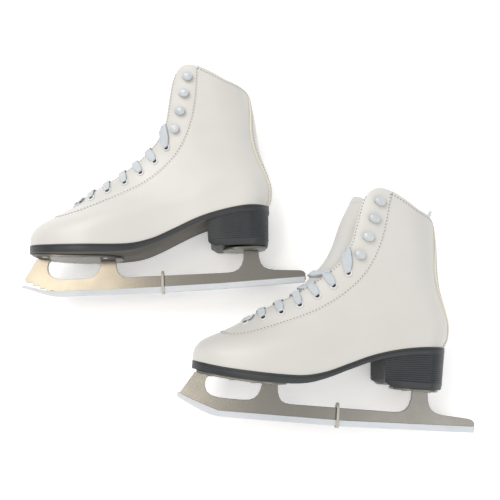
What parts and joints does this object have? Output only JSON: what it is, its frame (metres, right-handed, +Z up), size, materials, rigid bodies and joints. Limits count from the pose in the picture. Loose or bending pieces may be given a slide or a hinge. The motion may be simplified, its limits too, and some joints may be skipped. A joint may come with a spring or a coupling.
{
  "type": "ice skates",
  "caption": "Pair of lace-up figure skates lying on their sides: leather boots with eyelets and lace hooks, heeled soles, toothed steel blades and tied-on plastic edge guards.",
  "frame": {"origin": "centre of the pair's footprint on the floor", "axes": "+Z up from the floor the skates lie on; +X from the toes to the heels; +Y from the blades to the boot collars"},
  "size_m": [0.4728, 0.3844, 0.0914],
  "materials": {
    "leather": "smooth off-white coated leather",
    "lining": "pale textile lining",
    "lace": "flat woven lace",
    "sole": "satin charcoal",
    "board": "pressed fibre board",
    "footbed": "cloth-covered foam",
    "blade_steel": "brushed",
    "plate_steel": "plated, satin",
    "guard": "translucent bluish white",
    "tie": "translucent nylon",
    "hook_enamel": "white enamel"
  },
  "bodies": {
    "right_skate": {"right_vamp": "leather", "right_quarter_outer": "leather", "right_quarter_inner": "leather", "right_facing": "leather", "right_lining": "lining", "right_backstay": "leather", "right_tongue_base": "leather", "right_outsole": "sole", "right_heel": "sole", "right_heel_lift": "sole", "right_lasting_board": "board", "right_footbed": "footbed", "right_lace": "lace", "right_lace_end_outer": "lace", "right_lace_end_inner": "lace", "right_lace_hank": "lace", "right_blade": "blade_steel", "right_toe_plate": "plate_steel", "right_heel_plate": "plate_steel", "right_hook_outer_1": "hook_enamel", "right_hook_inner_1": "hook_enamel", "right_hook_outer_2": "hook_enamel", "right_hook_inner_2": "hook_enamel", "right_hook_outer_3": "hook_enamel", "right_hook_inner_3": "hook_enamel", "right_hook_outer_4": "hook_enamel", "right_hook_inner_4": "hook_enamel"},
    "right_tongue": {"right_tongue_flap": "leather"},
    "right_guard": {"right_edge_guard": "guard"},
    "right_tie": {"right_guard_tie": "tie"},
    "left_skate": {"left_vamp": "leather", "left_quarter_outer": "leather", "left_quarter_inner": "leather", "left_facing": "leather", "left_lining": "lining", "left_backstay": "leather", "left_tongue_base": "leather", "left_outsole": "sole", "left_heel": "sole", "left_heel_lift": "sole", "left_lasting_board": "board", "left_footbed": "footbed", "left_lace": "lace", "left_lace_end_outer": "lace", "left_lace_end_inner": "lace", "left_lace_hank": "lace", "left_blade": "blade_steel", "left_toe_plate": "plate_steel", "left_heel_plate": "plate_steel", "left_hook_outer_1": "hook_enamel", "left_hook_inner_1": "hook_enamel", "left_hook_outer_2": "hook_enamel", "left_hook_inner_2": "hook_enamel", "left_hook_outer_3": "hook_enamel", "left_hook_inner_3": "hook_enamel", "left_hook_outer_4": "hook_enamel", "left_hook_inner_4": "hook_enamel"},
    "left_tongue": {"left_tongue_flap": "leather"},
    "left_guard": {"left_edge_guard": "guard"},
    "left_tie": {"left_guard_tie": "tie"}
  },
  "joints": [
    {"name": "left_skate_lift", "type": "slide", "parent": "right_skate", "child": "left_skate", "axis": [0, 0, 1], "range_m": [0, 0.15]},
    {"name": "right_tongue_fold", "type": "hinge", "parent": "right_skate", "child": "right_tongue", "pos_m": [-0.08782, 0.10355, 0.03981], "axis": [0.0568, -0.0352, 0.9978], "range_deg": [0, 20]},
    {"name": "right_guard_pull", "type": "slide", "parent": "right_skate", "child": "right_guard", "axis": [0.0606, -0.9974, -0.0386], "range_m": [0, 0.0035]},
    {"name": "right_tie_slide", "type": "slide", "parent": "right_guard", "child": "right_tie", "axis": [0.9965, 0.0627, -0.0545], "range_m": [-0.03, 0.06]},
    {"name": "left_tongue_fold", "type": "hinge", "parent": "left_skate", "child": "left_tongue", "pos_m": [0.10117, -0.03173, 0.04336], "axis": [0.1184, -0.0266, 0.9926], "range_deg": [-15, 0]},
    {"name": "left_guard_pull", "type": "slide", "parent": "left_skate", "child": "left_guard", "axis": [-0.0651, -0.9977, -0.019], "range_m": [0, 0.0035]},
    {"name": "left_tie_slide", "type": "slide", "parent": "left_guard", "child": "left_tie", "axis": [0.9908, -0.0623, -0.1199], "range_m": [-0.042, 0.048]}
  ]
}
